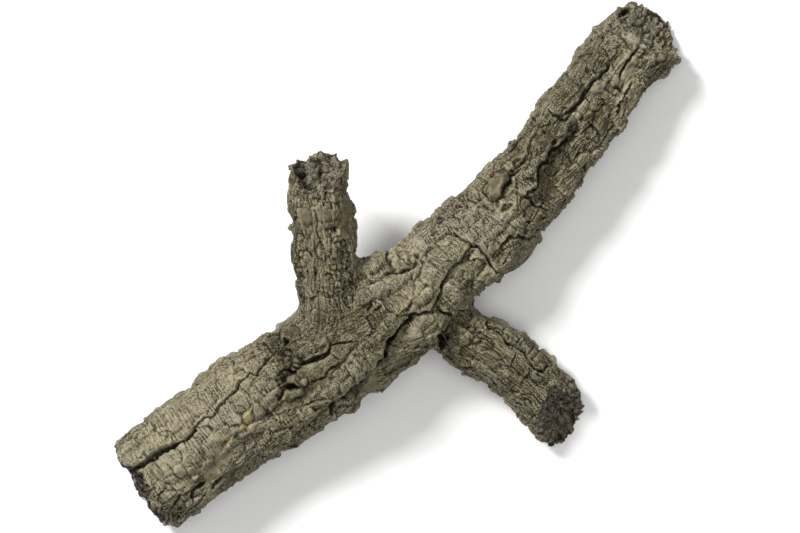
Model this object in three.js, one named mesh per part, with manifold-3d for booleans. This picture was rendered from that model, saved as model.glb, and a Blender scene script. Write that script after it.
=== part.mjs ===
// A cork branch: a thick trunk with two short stubs and a bent upper limb, covered in furrowed bark.
// It lies on its side on a table. Millimetres, +Z up. The origin is on the table, under the middle of the
// branch's outline as seen from above.

import * as THREE from 'three';
import { mergeVertices } from 'three/addons/utils/BufferGeometryUtils.js';
import Module from 'manifold-3d';

const wasm = await Module();
wasm.setup();

// Driving dimensions
const MM_PER_PIXEL = 0.75;
const OUTLINE_MIDDLE = [398.9, 264.3];
const TABLE_SIZE = 800;
const TABLE_DEPTH = 100;
const GAP = 0.3;
const UP = new THREE.Vector3(0, 0, 1);
const ABOVE_ALL = 300;

// Faceting: the distance between rings along a limb and between points around it
const RING_STEP = 9;
const SIDE_STEP = 8.5;
const END_RINGS = 3;
const FURROW_STEP = 12;
const FURROW_SIDES = 4;
const PEBBLE_DETAIL = 1;
const WELD = 0.001;

// Bark plates and swellings
const SWELLING_HEIGHT = 2.6;
const SWELLING_SIZE = 34;
const PLATE_WIDTH = 18;
const PLATE_LENGTH = 42;
const PLATE_RISE = 7;
const PLATE_TOP = 0.35;
const PLATE_FLOOR = -1.2;
const LEDGE_REACH = 26;
const LEDGE_FOOT = 15;
const LEDGE_FOOT_SHARE = 0.6;
const RIDGE_CREST = 0.2;
const RIDGE_FOOT = 1.4;
const RIDGE_TAPER = 0.12;
const SEEN_FROM = 0.02;
const SEEN_TO = 0.3;
const FURROW_TAPER = 0.4;
const END_REACH = 58;
const LIE_OF_PEBBLES = 42;
const PEBBLE_SINK = 0.3;

// A route point is where it is seen from above in an 800 x 533 frame, with x to the right and y down.
function plan([pixelX, pixelY]) {
  const x = (pixelX - OUTLINE_MIDDLE[0]) * MM_PER_PIXEL;
  const y = (OUTLINE_MIDDLE[1] - pixelY) * MM_PER_PIXEL;
  return new THREE.Vector2(x, y);
}

// Limbs
// A station is [pixel x, pixel y, height of the centre, half width, half height], the last three in mm.
// An end's cut says how far the rim runs out at u across the limb and v up it, both from -1 to 1.

const STEM = {
  stations: [
    [142, 490, 31, 37, 32.5],
    [165, 471, 34.5, 39.5, 36.5],
    [190, 453, 35, 39.5, 36.5],
    [215, 434, 35, 40, 37],
    [240, 415, 35, 39.5, 37],
    [266, 398, 37, 41, 37],
    [292, 380, 40, 41, 37],
    [331, 354, 42, 41, 36.5],
    [367, 331, 42.5, 40.5, 35.5],
    [402, 307, 42.5, 39.5, 34.5],
    [426, 287, 42, 37.5, 33.5],
    [446, 263, 41, 34.5, 32],
    [467, 247, 40, 34.5, 31.5],
    [486, 231, 39, 34.5, 31],
    [504, 214, 38, 34, 31],
    [519, 197, 37, 33, 30.5],
    [533, 179, 36, 32, 30],
    [548, 162, 34.5, 31.5, 29.5],
    [560, 142, 33, 31.5, 29.5],
    [574, 123, 31, 32.5, 29.5],
    [589, 106, 29, 31, 29],
    [603, 88, 28, 30, 28.5],
    [616, 69, 27.5, 30.5, 28.5],
    [630, 54, 27, 30.5, 28.5],
    [647, 39, 27, 31, 28],
  ],
  startCut: (u, v) => 3.5 + 5 * u - 2 * u * u - 4 * (1 + v),
  startDish: 12,
  endCut: (u, v) => 4.5 - 15.5 * v + 6 * v * v,
  endDish: 6,
};

const UPRIGHT_STUB = {
  stations: [
    [329, 352, 34, 25, 26],
    [329, 325, 45, 26, 26.5],
    [328, 300, 52, 24, 25],
    [327, 275, 58, 23, 23.5],
    [326, 250, 65, 23.5, 23],
    [326, 230, 70, 24, 23],
    [324, 210, 75, 24, 22.5],
    [321, 190, 80, 23.5, 22],
    [320, 167, 85, 22, 20],
  ],
  startCut: () => 0,
  startDish: 0,
  endCut: (u, v) => -4 - 11 * v,
  endDish: 9,
};

const SIDE_STUB = {
  stations: [
    [432, 300, 38, 20, 18],
    [446, 320, 36, 21, 21],
    [461, 331, 34, 21, 21.5],
    [474, 340, 32, 21.5, 21.5],
    [490, 351, 29, 22, 21.5],
    [504, 362, 26, 22.5, 21.5],
    [518, 375, 23, 23.5, 22],
    [534, 388, 21, 24, 22],
    [547, 400, 20, 23.5, 21.5],
    [560, 415, 19.5, 22.5, 21],
  ],
  startCut: () => 0,
  startDish: 0,
  endCut: (u, v) => 1.5 * v * v - 19.5 * v + 8 * u,
  endDish: 5,
};

const CROTCH_WEB = {
  stations: [
    [408, 268, 44, 11, 14],
    [385, 271, 46, 13, 16],
    [365, 277, 48, 14, 18],
    [345, 290, 50, 14, 18],
  ],
  startCut: () => 0,
  startDish: -8,
  endCut: () => 0,
  endDish: -8,
};

// Bark relief, seen from above
// A ledge's left side, looking along its route, stands higher than its right side. Heights are in mm.

const LEDGES = [
  { name: 'upper plate over the long split', height: 3,
    route: [[126, 472], [154, 456], [184, 440], [205, 419], [230, 396], [248, 377], [264, 365], [276, 352]] },
  { name: 'upper limb mass over the smooth valley', height: 5,
    route: [[525, 195], [535, 186], [537, 169], [557, 146], [578, 130]] },
  { name: 'upper limb mass over the pale plates', height: 5,
    route: [[566, 112], [582, 95], [599, 73], [610, 60]] },
  { name: 'ridge plate beside the main crack', height: 5,
    route: [[334, 398], [353, 387], [367, 368], [380, 359], [397, 331], [413, 318], [430, 311]] },
  { name: 'shoulder plate beside the main crack', height: 2.5,
    route: [[430, 311], [440, 291], [449, 272], [471, 246]] },
];

// A ridge's half width and rise are in mm. A valley has a rise below zero.
const RIDGES = [
  { name: 'upper plate', halfWidth: 13.5, rise: 3,
    route: [[135, 447], [160, 430], [190, 412], [230, 380], [258, 352]] },
  { name: 'middle plate', halfWidth: 10.5, rise: 2.5,
    route: [[148, 483], [185, 457], [215, 432], [245, 404], [268, 380]] },
  { name: 'lower plate', halfWidth: 6.8, rise: 2,
    route: [[190, 503], [215, 480], [245, 458], [280, 432], [312, 416]] },
  { name: 'valley between the middle and lower plates', halfWidth: 5.3, rise: -2.5,
    route: [[196, 490], [202, 482], [211, 471], [218, 462], [232, 450], [250, 440], [270, 428]] },
  { name: 'fork hollow', halfWidth: 6.8, rise: -4,
    route: [[281, 345], [289, 365], [290, 385], [280, 403], [266, 420]] },
  { name: 'valley beside the ridge plate', halfWidth: 5.3, rise: -2.5,
    route: [[345, 355], [338, 364], [327, 373], [313, 388], [306, 396], [297, 403], [286, 409]] },
  { name: 'ridge plate', halfWidth: 7.5, rise: 3.5,
    route: [[372, 345], [357, 366], [340, 384], [322, 398], [300, 415]] },
  { name: 'shoulder plate', halfWidth: 9, rise: 4,
    route: [[462, 243], [443, 260], [430, 288], [408, 308], [390, 326], [375, 340]] },
  { name: 'valley behind the shoulder plate', halfWidth: 7.5, rise: -2,
    route: [[432, 250], [408, 278], [385, 300], [362, 322], [345, 338]] },
  { name: 'ridge below the fork lobes', halfWidth: 5.3, rise: 3,
    route: [[412, 262], [395, 282], [375, 293]] },
  { name: 'hollow below the main crack', halfWidth: 6.8, rise: -3,
    route: [[372, 372], [382, 366], [395, 343]] },
  { name: 'upper limb mass', halfWidth: 9.8, rise: 4.5,
    route: [[600, 52], [583, 78], [560, 104], [545, 124], [530, 150], [520, 172], [505, 190]] },
  { name: 'smooth valley', halfWidth: 9, rise: -3.5,
    route: [[617, 85], [600, 104], [588, 122], [572, 145], [556, 165], [547, 190], [536, 215]] },
  { name: 'outer strip', halfWidth: 6, rise: 2,
    route: [[655, 88], [630, 114], [606, 140], [592, 162], [577, 190], [560, 215]] },
  { name: 'valley at the upper end', halfWidth: 6.8, rise: -2.5,
    route: [[626, 92], [630, 75], [636, 62]] },
  { name: 'elbow plate', halfWidth: 6.8, rise: 3,
    route: [[522, 245], [508, 262], [490, 278]] },
];

// A furrow's width and depth are in mm, at its widest.
const FURROWS = [
  { name: 'long split', width: 6, depth: 9,
    route: [[128, 471], [154, 456], [169, 446], [190, 435], [198, 425]] },
  { name: 'long split, upper part', width: 4, depth: 5,
    route: [[196, 428], [203, 418], [221, 406], [237, 389], [248, 377], [264, 366], [274, 352]] },
  { name: 'main crack', width: 5, depth: 8,
    route: [[471, 246], [452, 268], [441, 285], [434, 305], [413, 318], [397, 331], [380, 359], [363, 372],
      [353, 387], [338, 400]] },
  { name: 'crack over the side stub', width: 5, depth: 8,
    route: [[440, 307], [450, 312], [463, 310], [475, 301]] },
  { name: 'fork crack', width: 5, depth: 6,
    route: [[297, 386], [284, 397], [275, 411], [264, 421]] },
  { name: 'shadow under the wedge plate', width: 5, depth: 7,
    route: [[300, 363], [318, 357], [333, 346], [355, 341]] },
  { name: 'shoulder crack', width: 4, depth: 6,
    route: [[453, 232], [471, 244], [483, 251], [497, 268]] },
  { name: 'elbow crack', width: 4, depth: 6,
    route: [[492, 254], [508, 236], [523, 237], [540, 233]] },
  { name: 'knob furrow', width: 5, depth: 6,
    route: [[497, 202], [506, 188], [511, 176], [521, 169]] },
  { name: 'limb overhang, lower', width: 4, depth: 6,
    route: [[537, 178], [541, 163], [549, 153], [562, 142], [578, 130]] },
  { name: 'limb overhang, upper', width: 4, depth: 6,
    route: [[566, 112], [578, 102], [583, 90], [597, 78], [610, 60]] },
  { name: 'end crack', width: 5, depth: 7,
    route: [[643, 48], [628, 60], [622, 74], [620, 84]] },
  { name: 'end crack, right', width: 4, depth: 6,
    route: [[637, 82], [623, 96], [616, 115]] },
  { name: 'side stub crack', width: 4, depth: 6,
    route: [[485, 322], [500, 338], [524, 356], [535, 371], [551, 366]] },
  { name: 'shoulder of the upright stub', width: 4, depth: 5,
    route: [[385, 275], [403, 269], [414, 262]] },
  { name: 'lower rim crack', width: 4, depth: 5,
    route: [[160, 513], [177, 500], [191, 490], [204, 483]] },
];

// A pit's or lump's size is its half length along the limb, its half width and its half height, in mm.
const PITS = [
  { name: 'ledge pit', at: [176, 513], size: [8, 5, 6] },
  { name: 'fork hollow', at: [291, 386], size: [8, 4, 7] },
  { name: 'crotch pocket', at: [443, 337], size: [8, 6, 9] },
  { name: 'plate hollow', at: [242, 373], size: [5, 4, 4] },
  { name: 'shoulder hollow', at: [507, 207], size: [6, 4, 5] },
  { name: 'knot hole', at: [520, 165], size: [6, 4, 5] },
  { name: 'black hollow', at: [574, 127], size: [6, 4, 5] },
  { name: 'end pocket', at: [604, 66], size: [6, 5, 4] },
  { name: 'broken end hole', at: [624, 13], size: [6, 5, 7] },
  { name: 'crumbled tip', at: [331, 160], size: [6, 6, 7] },
];

const LUMPS = [
  { name: 'lower bump', at: [348, 401], size: [10, 10, 8] },
  { name: 'smooth knot', at: [499, 188], size: [12, 7, 7] },
  { name: 'first fork lobe', at: [380, 263], size: [9, 8, 8] },
  { name: 'second fork lobe', at: [397, 260], size: [8, 5, 7] },
  { name: 'fork bump', at: [297, 395], size: [7, 6, 5] },
  { name: 'fan lobe', at: [453, 294], size: [12, 12, 6] },
  { name: 'block over the crotch', at: [425, 328], size: [17, 13, 7] },
  { name: 'stub end nub', at: [325, 158], size: [10, 8, 9] },
];

// Forks
// A heading turns anticlockwise from +X, and a rise tips the piece up from the table, in degrees.
const FORKS = {
  upright_stub: { at: [318, 260], height: 60, heading: 90, rise: 20, block: [150, 60, 160] },
  side_stub: { at: [456, 326], height: 33, heading: -41, rise: -6, block: [180, 66, 160] },
  upper_limb: { at: [446, 263], height: 40, heading: 39.5, rise: 0, block: [400, 400, 300] },
};

// Noise
// A smooth random value from -1 to 1 for every point of space, the same on each run.
function latticeValue(i, j, k) {
  const mixed = Math.sin(i * 127.1 + j * 311.7 + k * 74.7) * 43758.5453;
  return 2 * (mixed - Math.floor(mixed)) - 1;
}

function noise(x, y, z) {
  const cell = [x, y, z].map(Math.floor);
  const [fx, fy, fz] = [x, y, z].map((value, axis) => THREE.MathUtils.smoothstep(value - cell[axis], 0, 1));
  let sum = 0;
  for (const dx of [0, 1]) {
    for (const dy of [0, 1]) {
      for (const dz of [0, 1]) {
        const weight = (dx ? fx : 1 - fx) * (dy ? fy : 1 - fy) * (dz ? fz : 1 - fz);
        sum += weight * latticeValue(cell[0] + dx, cell[1] + dy, cell[2] + dz);
      }
    }
  }
  return sum;
}

// Broad swellings, and furrows that run along the limb between bark plates.
function barkRelief(point, angle, distance, halfWidth) {
  const place = point.clone().divideScalar(SWELLING_SIZE);
  const swelling = SWELLING_HEIGHT * noise(place.x, place.y, place.z);
  const girth = halfWidth / PLATE_WIDTH;
  const ridges = Math.abs(noise(girth * Math.cos(angle), girth * Math.sin(angle), distance / PLATE_LENGTH));
  const plates = PLATE_FLOOR + PLATE_RISE * Math.min(ridges, PLATE_TOP);
  return swelling + plates;
}

// How far a place is from a route, how far along the route that is, and whether it is left (1) or right (-1).
function besideRoute(place, pixels) {
  const route = pixels.map(plan);
  const total = route.slice(1).reduce((sum, point, i) => sum + point.distanceTo(route[i]), 0);
  let best = { away: Infinity, progress: 0, side: 0 };
  let passed = 0;
  for (let i = 0; i + 1 < route.length; i += 1) {
    const stretch = route[i + 1].clone().sub(route[i]);
    const offset = place.clone().sub(route[i]);
    const fraction = THREE.MathUtils.clamp(offset.dot(stretch) / stretch.lengthSq(), 0, 1);
    const away = offset.clone().addScaledVector(stretch, -fraction).length();
    if (away < best.away) {
      const progress = (passed + fraction * stretch.length()) / total;
      best = { away, progress, side: Math.sign(stretch.cross(offset)) };
    }
    passed += stretch.length();
  }
  return best;
}

// How high the ledges and ridges lift the bark at a place seen from above.
function plateLift(place) {
  let lift = 0;
  for (const ledge of LEDGES) {
    const { away, side } = besideRoute(place, ledge.route);
    const high = 1 - THREE.MathUtils.smoothstep(away, 0, LEDGE_REACH);
    const low = LEDGE_FOOT_SHARE * (THREE.MathUtils.smoothstep(away, 0, LEDGE_FOOT) - 1);
    lift += ledge.height * (side > 0 ? high : low);
  }
  for (const ridge of RIDGES) {
    const { away, progress } = besideRoute(place, ridge.route);
    const toEnd = Math.min(progress, 1 - progress);
    const ends = THREE.MathUtils.smoothstep(toEnd, -RIDGE_TAPER / 2, RIDGE_TAPER);
    const [crest, foot] = [RIDGE_CREST * ridge.halfWidth, RIDGE_FOOT * ridge.halfWidth];
    lift += ridge.rise * ends * (1 - THREE.MathUtils.smoothstep(away, crest, foot));
  }
  return lift;
}

// Solids
// A closed geometry as a solid that can be joined and cut. Faces that shrink to a line are left out.
function toSolid(geometry) {
  const bare = geometry.clone();
  bare.deleteAttribute('normal');
  bare.deleteAttribute('uv');
  const merged = mergeVertices(bare, WELD);
  const index = merged.index.array;
  const triangles = [];
  for (let i = 0; i < index.length; i += 3) {
    const [a, b, c] = index.slice(i, i + 3);
    if (a !== b && b !== c && c !== a) {
      triangles.push(a, b, c);
    }
  }
  const mesh = new wasm.Mesh({
    numProp: 3,
    vertProperties: merged.attributes.position.array,
    triVerts: new Uint32Array(triangles),
  });
  return new wasm.Manifold(mesh);
}

function toGeometry(solid) {
  const mesh = solid.getMesh();
  const geometry = new THREE.BufferGeometry();
  geometry.setAttribute('position', new THREE.BufferAttribute(mesh.vertProperties, 3));
  geometry.setIndex(new THREE.BufferAttribute(mesh.triVerts, 1));
  geometry.computeVertexNormals();
  return geometry;
}

// A limb's route and its half width and half height along it.
function growLimb(limb) {
  const points = limb.stations.map(([x, y, z]) => new THREE.Vector3(...plan([x, y]), z));
  const sizes = limb.stations.map((station) => new THREE.Vector3(station[3], station[4], 0));
  const route = new THREE.CatmullRomCurve3(points);
  return { ...limb, route, sizes: new THREE.CatmullRomCurve3(sizes), length: route.getLength() };
}

// The cross-section at a distance along a limb, which runs straight on past both ends.
function sectionAt(limb, distance) {
  const inside = THREE.MathUtils.clamp(distance, 0, limb.length);
  const t = limb.route.getUtoTmapping(inside / limb.length);
  const along = limb.route.getTangent(t);
  const centre = limb.route.getPoint(t).addScaledVector(along, distance - inside);
  const size = limb.sizes.getPoint(t);
  const side = new THREE.Vector3().crossVectors(along, UP).normalize();
  const up = new THREE.Vector3().crossVectors(side, along);
  return { centre, along, side, up, halfWidth: size.x, halfHeight: size.y };
}

// One point of a limb's skin: u and v are its place in the round section, from -1 to 1.
function skinPoint(limb, u, v, distance) {
  const reach = Math.hypot(u, v);
  const nearEnd = THREE.MathUtils.smoothstep(distance, limb.length - END_REACH, limb.length);
  const nearStart = 1 - THREE.MathUtils.smoothstep(distance, 0, END_REACH);
  const dish = 1 - reach * reach;
  const shift = nearEnd * (limb.endCut(u, v) - limb.endDish * dish)
    - nearStart * (limb.startCut(u, v) - limb.startDish * dish);
  const section = sectionAt(limb, distance + shift);
  const point = section.centre.clone();
  point.addScaledVector(section.side, u * section.halfWidth);
  point.addScaledVector(section.up, v * section.halfHeight);
  const lift = barkRelief(point, Math.atan2(v, u), distance, section.halfWidth)
    + THREE.MathUtils.smoothstep(v, SEEN_FROM, SEEN_TO) * plateLift(new THREE.Vector2(point.x, point.y));
  point.addScaledVector(section.side, u * lift);
  point.addScaledVector(section.up, v * lift);
  return point;
}

// A turned bar of unit radius with flat ends, bent along the limb.
function limbSolid(description) {
  const limb = growLimb(description);
  const rings = Math.round(limb.length / RING_STEP);
  const widest = Math.max(...limb.stations.map((station) => station[3]));
  const sides = Math.round((2 * Math.PI * widest) / SIDE_STEP);
  const profile = [];
  for (let i = 0; i < END_RINGS; i += 1) {
    profile.push(new THREE.Vector2(i / END_RINGS, 0));
  }
  for (let i = 0; i <= rings; i += 1) {
    profile.push(new THREE.Vector2(1, (limb.length * i) / rings));
  }
  for (let i = END_RINGS - 1; i >= 0; i -= 1) {
    profile.push(new THREE.Vector2(i / END_RINGS, limb.length));
  }
  const geometry = new THREE.LatheGeometry(profile, sides);
  const position = geometry.attributes.position;
  for (let i = 0; i < position.count; i += 1) {
    const point = skinPoint(limb, position.getX(i), position.getZ(i), position.getY(i));
    position.setXYZ(i, point.x, point.y, point.z);
  }
  return toSolid(geometry);
}

// The point of the joined branch's skin that is seen at a place from above.
function seenFrom(skin, place) {
  const start = new THREE.Vector3(place.x, place.y, ABOVE_ALL);
  const caster = new THREE.Raycaster(start, UP.clone().negate());
  const hits = caster.intersectObject(skin);
  return hits.length > 0 ? hits[0].point : new THREE.Vector3(place.x, place.y, 0);
}

// A four-sided spindle with pointed ends, laid along a route on the skin.
function furrowCutter(skin, furrow) {
  const points = furrow.route.map((pixel) => seenFrom(skin, plan(pixel)));
  const route = new THREE.CatmullRomCurve3(points);
  const length = route.getLength();
  const rings = Math.round(length / FURROW_STEP);
  const profile = [];
  for (let i = 0; i <= rings; i += 1) {
    const swell = Math.sin((Math.PI * i) / rings) ** FURROW_TAPER;
    profile.push(new THREE.Vector2(i % rings === 0 ? 0 : swell, length * (i / rings)));
  }
  const geometry = new THREE.LatheGeometry(profile, FURROW_SIDES);
  const position = geometry.attributes.position;
  const spindle = { route, length, sizes: new THREE.LineCurve3(new THREE.Vector3(), new THREE.Vector3()) };
  for (let i = 0; i < position.count; i += 1) {
    const section = sectionAt(spindle, position.getY(i));
    const point = section.centre;
    point.addScaledVector(section.side, position.getX(i) * furrow.width / 2);
    point.addScaledVector(section.up, position.getZ(i) * furrow.depth);
    position.setXYZ(i, point.x, point.y, point.z);
  }
  return toSolid(geometry);
}

// A rounded lump or pit, turned to lie along the branch.
function pebbleSolid(skin, pebble) {
  const centre = seenFrom(skin, plan(pebble.at));
  const geometry = new THREE.IcosahedronGeometry(1, PEBBLE_DETAIL);
  geometry.scale(...pebble.size);
  geometry.rotateZ(THREE.MathUtils.degToRad(LIE_OF_PEBBLES));
  geometry.translate(centre.x, centre.y, centre.z - PEBBLE_SINK * pebble.size[2]);
  return toSolid(geometry);
}

// A long block that starts at a fork and runs along the piece beyond it.
function beyondFork(fork, start) {
  const [length, width, height] = fork.block;
  const geometry = new THREE.BoxGeometry(length, width, height);
  geometry.translate(length / 2 + start, 0, 0);
  geometry.rotateY(-THREE.MathUtils.degToRad(fork.rise));
  geometry.rotateZ(THREE.MathUtils.degToRad(fork.heading));
  const at = plan(fork.at);
  geometry.translate(at.x, at.y, fork.height);
  return toSolid(geometry);
}

// The limbs grown together, with their lumps, furrows and pits, worn flat where the branch rests.
function makeBranch() {
  let branch = limbSolid(STEM);
  for (const limb of [UPRIGHT_STUB, SIDE_STUB, CROTCH_WEB]) {
    branch = branch.add(limbSolid(limb));
  }
  const skin = new THREE.Mesh(toGeometry(branch));
  for (const lump of LUMPS) {
    branch = branch.add(pebbleSolid(skin, lump));
  }
  for (const furrow of FURROWS) {
    branch = branch.subtract(furrowCutter(skin, furrow));
  }
  for (const pit of PITS) {
    branch = branch.subtract(pebbleSolid(skin, pit));
  }
  const table = new THREE.BoxGeometry(TABLE_SIZE, TABLE_SIZE, TABLE_DEPTH);
  table.translate(0, 0, -TABLE_DEPTH / 2);
  return branch.subtract(toSolid(table));
}

// Crumbs that the cracks cut loose fall away, so only the largest body is left.
function withoutCrumbs(solid) {
  return solid.decompose().reduce((largest, body) => (body.volume() > largest.volume() ? body : largest));
}

// The four pieces, each parted from the rest by a thin gap.
function splitAtForks(branch) {
  const pieces = {};
  let rest = branch;
  for (const [name, fork] of Object.entries(FORKS)) {
    pieces[name] = rest.intersect(beyondFork(fork, GAP / 2));
    rest = rest.subtract(beyondFork(fork, -GAP / 2));
  }
  pieces.lower_trunk = rest;
  return pieces;
}

const group = new THREE.Group();
const bark = new THREE.MeshStandardMaterial({ color: 0x6d6755, roughness: 0.95, metalness: 0 });
for (const [name, solid] of Object.entries(splitAtForks(makeBranch()))) {
  const mesh = new THREE.Mesh(toGeometry(withoutCrumbs(solid)), bark.clone());
  mesh.name = name;
  group.add(mesh);
}

export default group;
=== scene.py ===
# A cork branch on a pale studio floor, seen straight from above. The bark is real relief: the branch is
# grown from its limbs, joined, and carved with the furrows, plates, lumps and pits that can be seen on it.

import itertools
import math

import bpy
import numpy as np
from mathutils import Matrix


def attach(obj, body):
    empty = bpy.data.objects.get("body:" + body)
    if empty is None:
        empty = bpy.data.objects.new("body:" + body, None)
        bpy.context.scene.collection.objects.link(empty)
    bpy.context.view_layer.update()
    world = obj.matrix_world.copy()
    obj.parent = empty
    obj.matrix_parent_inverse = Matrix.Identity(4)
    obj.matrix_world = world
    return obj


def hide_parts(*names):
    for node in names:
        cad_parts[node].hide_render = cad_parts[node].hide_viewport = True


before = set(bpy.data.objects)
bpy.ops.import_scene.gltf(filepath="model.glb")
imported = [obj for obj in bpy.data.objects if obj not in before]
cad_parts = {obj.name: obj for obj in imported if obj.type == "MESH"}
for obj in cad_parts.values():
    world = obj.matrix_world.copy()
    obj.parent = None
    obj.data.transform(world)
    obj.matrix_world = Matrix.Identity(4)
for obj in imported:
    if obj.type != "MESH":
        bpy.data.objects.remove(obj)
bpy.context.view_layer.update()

# Scale: places are pixels of an 800 x 533 frame, and a pixel is 0.75 mm at the branch's half height
MM = 0.001
MM_PER_PIXEL = 0.75
FRAME_MIDDLE = (400.0, 266.5)
FRAME_WIDTH = 2 * FRAME_MIDDLE[0] * MM_PER_PIXEL
OUTLINE_MIDDLE = (398.9, 264.3)
HALF_HEIGHT = 36.0
CAMERA_HEIGHT = 2600.0
CAMERA_X = (FRAME_MIDDLE[0] - OUTLINE_MIDDLE[0]) * MM_PER_PIXEL
CAMERA_Y = (OUTLINE_MIDDLE[1] - FRAME_MIDDLE[1]) * MM_PER_PIXEL
SENSOR_WIDTH = 36.0

# Fineness of the meshes, in mm, and rounds of evening out
LATHE_STEP = 3.0
VOXEL = 1.74
CURVE_STEPS = 40
SMOOTH_ROUNDS = 4
CROTCH_REACH = 27.0
CROTCH_ROUNDS = 40
CAVITY_ROUNDS = 12

# A face stays coarse where its normal points down by more than this
UNDERSIDE = -0.15

# Limb ends: rings on an end face, the smallest one's share of the radius, and in mm how far back a cut
# slants the limb, how ragged its rim is, how far the broken faces reach in from the start and the end, and
# between which shares of facing outwards a face becomes part of them
END_RINGS = 11
END_MIDDLE = 0.06
END_REACH = 58.0
RAGGED_REACH = 30.0
RAGGED_SIZE = 11.0
RAGGED_DEPTH = 2.0
START_FACE = 25
END_FACE = 30
FACING = (0.3, 0.65)

# Random blocks: how square they are, the margin their middles keep, and what turns their numbers into leans
BLOCKINESS = 4.0
BLOCK_MARGIN = 0.1
LEANS = (5.0, 7.0, 11.0)

# Layers of blocks, in mm: the cracks' depth, the steps from block to block, and the lean of the tops. Cracks
# lie from the edge start to the layer's edge, as shares of a block. Each limb has its own block size.
SLABS = {"seed": 1, "size": (17, 17, 38), "edge": 0.16, "crack": 3.4, "step": 3.2, "lean": 2.4}
BLOCKS = {"seed": 11, "edge": 0.14, "crack": 1.3, "step": 1.8, "lean": 2.0}
CRUMBS = {"seed": 21, "size": 5.0, "edge": 0.4, "crack": 1.6, "step": 2.2, "lean": 2.0}
EDGE_START = 0.02

# Broad swellings, bark plates, ribs, fibres and humps, in mm
SWELLING_HEIGHT = 2.6
SWELLING_SIZE = 34.0
PLATE_WIDTH = 18.0
PLATE_LENGTH = 42.0
PLATE_RISE = 7.0
PLATE_TOP = 0.35
PLATE_FLOOR = -1.2
RIB_SPACING = 2.6
RIB_HEIGHT = 0.5
FIBRE_HEIGHT = 0.6
HUMP_HEIGHT = 0.9

# Furrows: the trench's half width and its shift to a step's low side, as shares of the width, the soft dip
# round it as a reach in mm and a share of the depth, and the depth in mm from which a furrow gets its full
# painted shade
TRENCH_HALF = 0.42
TRENCH_SHIFT = 0.35
DIP_REACH = 4.0
DIP_SHARE = 0.12
FULL_PAINTED_SHADE_DEPTH = 5

# How far a plain and a stepped furrow are felt, in pixels, and how far a step falls off on its high and low
# sides, in mm, with the low side's share of the step
FURROW_REACH = 14
STEP_REACH = 40
HIGH_FALL = 26
LOW_FALL = 15
LOW_SHARE = 0.4

# Where limbs meet: how sharply the bark changes, the least weight that counts, and in mm how far apart the
# limbs lie in the noise
MEETING_SHARPNESS = 8
LEAST_WEIGHT = 0.02
NOISE_STRETCH = 300.0

# Brightness: of level bark, what each mm above or below the bark around adds as a painted highlight on
# raised bark and painted shade in hollows, the heights in mm between which it does, and the painted shade
# that a furrow takes away
LEVEL_BARK = 0.515
PAINTED_SHADING_PER_MM = 0.34
PAINTED_SHADING_HEIGHTS = (-3, 0.8)
FURROW_PAINTED_SHADE = 0.55

# Grain of the bark: fibres in mm, textures as waves in a metre, and how strong each is. The grain makes both
# the bump and the colour, so the lines between the ribs are grooves with painted shade in them
FIBRE_WIDTH = 1.1
FIBRE_LENGTH = 8.0
SPECKLE_SCALE = 1450
PIT_SCALE = 850
MOTTLE_SCALE = 500
STREAK_STRENGTH = 1.7
SPECKLE_STRENGTH = 3.9
RIB_LINE_DEPTH_AND_SHADE = 0.24
PIT_STRENGTH = 6
MOTTLE_STRENGTH = 3.0

# Colours from the darkest bark to the lightest, as (level, colour)
GREY_BARK = (
    (0.0, (0.012, 0.009, 0.005)), (0.35, (0.073, 0.059, 0.038)),
    (0.6, (0.164, 0.138, 0.094)), (1.0, (0.35, 0.312, 0.236)),
)
OLIVE_BARK = (
    (0.0, (0.010, 0.008, 0.002)), (0.35, (0.070, 0.061, 0.027)),
    (0.6, (0.158, 0.140, 0.068)), (1.0, (0.34, 0.312, 0.198)),
)
LICHEN = ((0.0, (0.06, 0.045, 0.012)), (0.5, (0.27, 0.22, 0.09)), (1.0, (0.5, 0.43, 0.22)))
BROKEN_CORK = ((0.0, (0.008, 0.006, 0.005)), (0.5, (0.070, 0.057, 0.046)), (1.0, (0.24, 0.21, 0.17)))


# Limbs
def uncut(u, v):
    """The cut of a square end."""
    return 0 * u


# Stations are (pixel x, pixel y, height of the centre, half width, half height), the last three in mm. A cut
# is how far the rim runs out at u across the limb and v up it, both from -1 to 1, and a dish how hollow the
# end is, in mm. Darkness up to 1 is the share of the broken cork's colour, and above 1 it goes to black.
STEM = {
    "stations": (
        (142, 490, 31, 37, 32.5), (165, 471, 34.5, 39.5, 36.5), (190, 453, 35, 39.5, 36.5),
        (215, 434, 35, 40, 37), (240, 415, 35, 39.5, 37), (266, 398, 37, 41, 37), (292, 380, 40, 41, 37),
        (331, 354, 42, 41, 36.5), (367, 331, 42.5, 40.5, 35.5), (402, 307, 42.5, 39.5, 34.5),
        (426, 287, 42, 37.5, 33.5), (446, 263, 41, 34.5, 32), (467, 247, 40, 34.5, 31.5),
        (486, 231, 39, 34.5, 31), (504, 214, 38, 34, 31), (519, 197, 37, 33, 30.5), (533, 179, 36, 32, 30),
        (548, 162, 34.5, 31.5, 29.5), (560, 142, 33, 31.5, 29.5), (574, 123, 31, 32.5, 29.5),
        (589, 106, 29, 31, 29), (603, 88, 28, 30, 28.5), (616, 69, 27.5, 30.5, 28.5),
        (630, 54, 27, 30.5, 28.5), (645.3, 37, 27, 28.8, 28),
    ),
    "start_cut": lambda u, v: (3 + 5 * u - 4 * u * u - 5 * ramp(u, 0.75, 1) - 8 * v
                               - 9 * ramp(v, 0.0, 0.5) * ramp(u, -0.65, -0.4) * ramp(-u, -0.35, -0.15)),
    "start_dish": 4.0,
    "end_cut": lambda u, v: 4.5 - 15.5 * v + 6 * v * v,
    "end_dish": 3.0,
    "start_dark": 2.6,
    "end_dark": 0.25,
    "block_size": (9, 12),
}
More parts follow.
